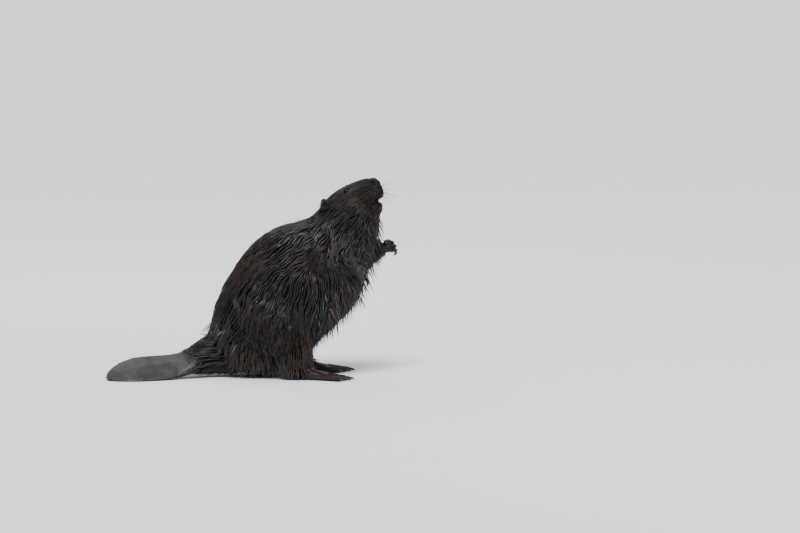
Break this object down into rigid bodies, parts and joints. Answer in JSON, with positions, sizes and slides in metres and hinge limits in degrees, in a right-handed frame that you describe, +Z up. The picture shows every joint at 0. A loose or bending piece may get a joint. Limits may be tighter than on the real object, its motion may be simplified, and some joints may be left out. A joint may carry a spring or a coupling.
{
  "type": "beaver",
  "caption": "life-size still model of a wet adult beaver rearing on its hind feet, head raised and mouth ajar, one forepaw reaching forwards, flat scaly tail laid behind",
  "frame": {"origin": "On the floor, under the middle of the whole animal's box", "axes": "+X the way the animal faces, +Y its left side, +Z up; the longest extent runs along X from tail tip to forepaw"},
  "size_m": [0.8004, 0.2956, 0.5495],
  "materials": {
    "coat": "wet, clumped fur, near black with brown tips",
    "foot_skin": "dark bare skin, slightly wet",
    "tail_scale": "grey scales, satin",
    "claw_horn": "dark horn",
    "enamel": "orange-brown enamel",
    "eye": "glossy, dark brown"
  },
  "bodies": {
    "root": {"belly": "coat", "chest": "coat", "claw_fore_left_2": "claw_horn", "claw_fore_left_3": "claw_horn", "claw_fore_left_4": "claw_horn", "claw_fore_left_5": "claw_horn", "claw_fore_right_2": "claw_horn", "claw_fore_right_3": "claw_horn", "claw_fore_right_4": "claw_horn", "claw_fore_right_5": "claw_horn", "claw_hind_left_1": "claw_horn", "claw_hind_left_2": "claw_horn", "claw_hind_left_3": "claw_horn", "claw_hind_left_4": "claw_horn", "claw_hind_left_5": "claw_horn", "claw_hind_right_1": "claw_horn", "claw_hind_right_2": "claw_horn", "claw_hind_right_3": "claw_horn", "claw_hind_right_4": "claw_horn", "claw_hind_right_5": "claw_horn", "ear_left": "coat", "ear_right": "coat", "eye_left": "eye", "eye_right": "eye", "forearm_left": "coat", "forearm_right": "coat", "forepaw_left": "foot_skin", "forepaw_right": "foot_skin", "head": "coat", "hind_foot_left": "foot_skin", "hind_foot_right": "foot_skin", "incisors_lower": "enamel", "incisors_upper": "enamel", "lower_jaw": "coat", "neck": "coat", "rump": "coat", "shank_left": "coat", "shank_right": "coat", "tail_blade": "tail_scale", "tail_root": "coat", "thigh_left": "coat", "thigh_right": "coat", "upper_arm_left": "coat", "upper_arm_right": "coat"}
  },
  "joints": []
}
